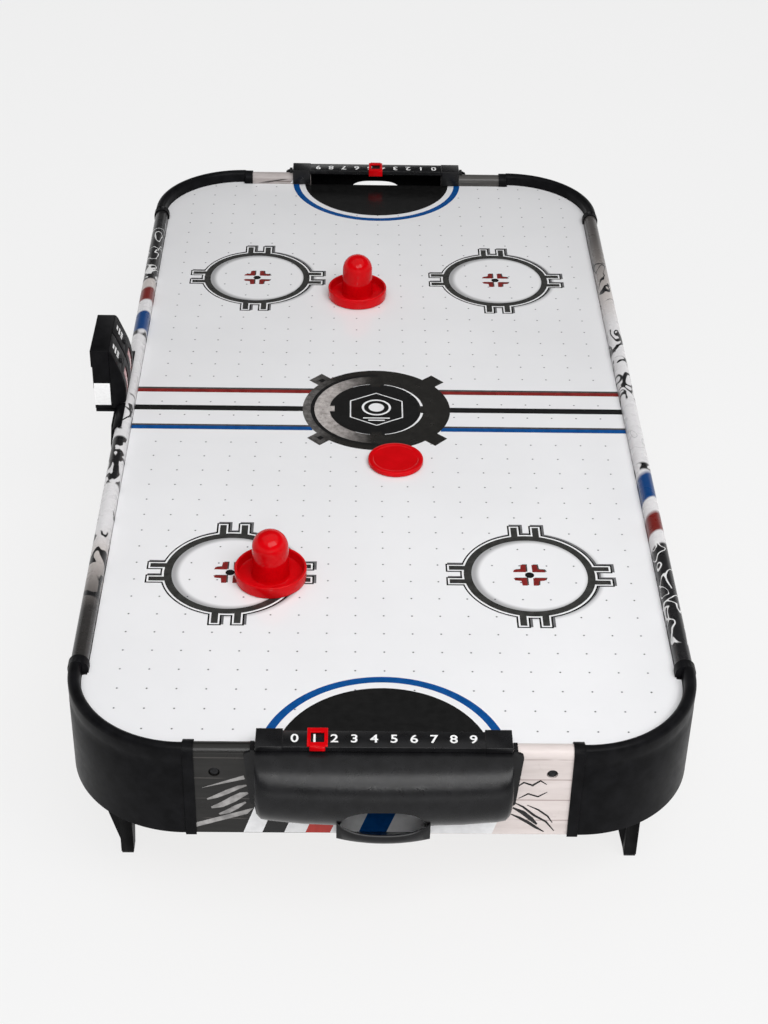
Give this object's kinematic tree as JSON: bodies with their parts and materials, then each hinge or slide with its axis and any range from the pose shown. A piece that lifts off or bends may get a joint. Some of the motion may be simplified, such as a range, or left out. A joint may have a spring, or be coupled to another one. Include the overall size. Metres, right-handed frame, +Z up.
{
  "type": "tabletop air hockey table",
  "caption": "Low air hockey table: perforated board in rounded rails on short legs, goal catchers with sliding score bars, air blower, side scorer, mallets and puck.",
  "frame": {"origin": "centre of the whole table's bounding box in plan, on the ground under the feet", "axes": "+Y along the table from the near player to the far player, +X to the near player's right, +Z up"},
  "size_m": [0.5338, 1.0958, 0.2393],
  "materials": {
    "playfield_laminate": "glossy printed laminate",
    "printed_wrap": "semi-gloss printed film over board",
    "satin_black_plastic": "satin black, fine grain",
    "leg_plastic": "matte black",
    "rubber_pad": "matte black",
    "dark_steel_screw": "blackened",
    "grained_black_plastic": "moulded grain",
    "red_plastic": "glossy moulding",
    "black_felt": "felt",
    "fibreboard": "raw hardboard",
    "raw_wood": "raw particle board",
    "blower_plastic": "matte black",
    "motor_steel": "drawn can",
    "power_plastic": "black",
    "scorer_plastic": "fine grained black",
    "red_window": "tinted window",
    "battery_can": "wrapped cell",
    "circuit_laminate": "green board"
  },
  "bodies": {
    "table": {"playfield_board": "playfield_laminate", "rail_left": "printed_wrap", "rail_right": "printed_wrap", "apron_near": "printed_wrap", "apron_far": "printed_wrap", "corner_far_left": "satin_black_plastic", "corner_far_right": "satin_black_plastic", "corner_near_left": "satin_black_plastic", "corner_near_right": "satin_black_plastic", "leg_far_left": "leg_plastic", "leg_far_right": "leg_plastic", "leg_near_left": "leg_plastic", "leg_near_right": "leg_plastic", "foot_pad_far_left": "rubber_pad", "foot_pad_far_right": "rubber_pad", "foot_pad_near_left": "rubber_pad", "foot_pad_near_right": "rubber_pad", "apron_screw_far_left": "dark_steel_screw", "apron_screw_far_right": "dark_steel_screw", "apron_screw_near_left": "dark_steel_screw", "apron_screw_near_right": "dark_steel_screw", "catcher_far": "grained_black_plastic", "catcher_near": "grained_black_plastic", "score_bar_far": "grained_black_plastic", "score_bar_near": "grained_black_plastic", "bottom_panel": "fibreboard", "plenum_rib_far": "raw_wood", "plenum_rib_near": "raw_wood", "batten_far": "raw_wood", "batten_near": "raw_wood", "batten_left": "raw_wood", "batten_right": "raw_wood", "blower_frame": "blower_plastic", "blower_guard": "blower_plastic", "blower_motor": "motor_steel", "power_inlet": "power_plastic", "power_switch": "power_plastic", "scorer_bracket": "scorer_plastic", "scorer_housing": "scorer_plastic", "scorer_face": "scorer_plastic", "scorer_window_near": "red_window", "scorer_window_far": "red_window", "scorer_battery_lower": "battery_can", "scorer_battery_upper": "battery_can", "scorer_circuit": "circuit_laminate"},
    "score_slider_near": {"score_slider_near": "red_plastic"},
    "score_slider_far": {"score_slider_far": "red_plastic"},
    "mallet_near": {"mallet_near": "red_plastic", "mallet_felt_near": "black_felt"},
    "mallet_far": {"mallet_far": "red_plastic", "mallet_felt_far": "black_felt"},
    "puck": {"puck": "red_plastic"},
    "impeller": {"blower_impeller": "blower_plastic"},
    "rocker": {"power_rocker": "power_plastic"},
    "button_near": {"scorer_button_near": "scorer_plastic"},
    "button_far": {"scorer_button_far": "scorer_plastic"},
    "battery_door": {"scorer_battery_door": "scorer_plastic"}
  },
  "joints": [
    {"name": "score_slider_near_slide", "type": "slide", "parent": "table", "child": "score_slider_near", "axis": [1, 0, 0], "range_m": [-0.0176, 0.1196]},
    {"name": "score_slider_far_slide", "type": "slide", "parent": "table", "child": "score_slider_far", "axis": [1, 0, 0], "range_m": [-0.0681, 0.0691]},
    {"name": "mallet_near_glide", "type": "slide", "parent": "table", "child": "mallet_near", "axis": [0, 1, 0], "range_m": [-0.18, 0.23]},
    {"name": "mallet_far_glide", "type": "slide", "parent": "table", "child": "mallet_far", "axis": [1, 0, 0], "range_m": [-0.178, 0.225]},
    {"name": "puck_glide", "type": "slide", "parent": "table", "child": "puck", "axis": [0, 1, 0], "range_m": [-0.36, 0.25]},
    {"name": "impeller_spin", "type": "hinge", "parent": "table", "child": "impeller", "pos_m": [0.01011, 0, 0.1144], "axis": [0, 0, 1], "continuous": true},
    {"name": "rocker_tilt", "type": "hinge", "parent": "table", "child": "rocker", "pos_m": [0.26241, -0.3, 0.134], "axis": [0, 1, 0], "range_deg": [0, 16]},
    {"name": "button_near_press", "type": "slide", "parent": "table", "child": "button_near", "axis": [-1, 0, 0], "range_m": [0, 0.0008], "stiffness_N_per_m": 400},
    {"name": "button_far_press", "type": "slide", "parent": "table", "child": "button_far", "axis": [-1, 0, 0], "range_m": [0, 0.0008], "stiffness_N_per_m": 400},
    {"name": "battery_door_slide", "type": "slide", "parent": "table", "child": "battery_door", "axis": [0, 0, -1], "range_m": [0, 0.018]}
  ]
}
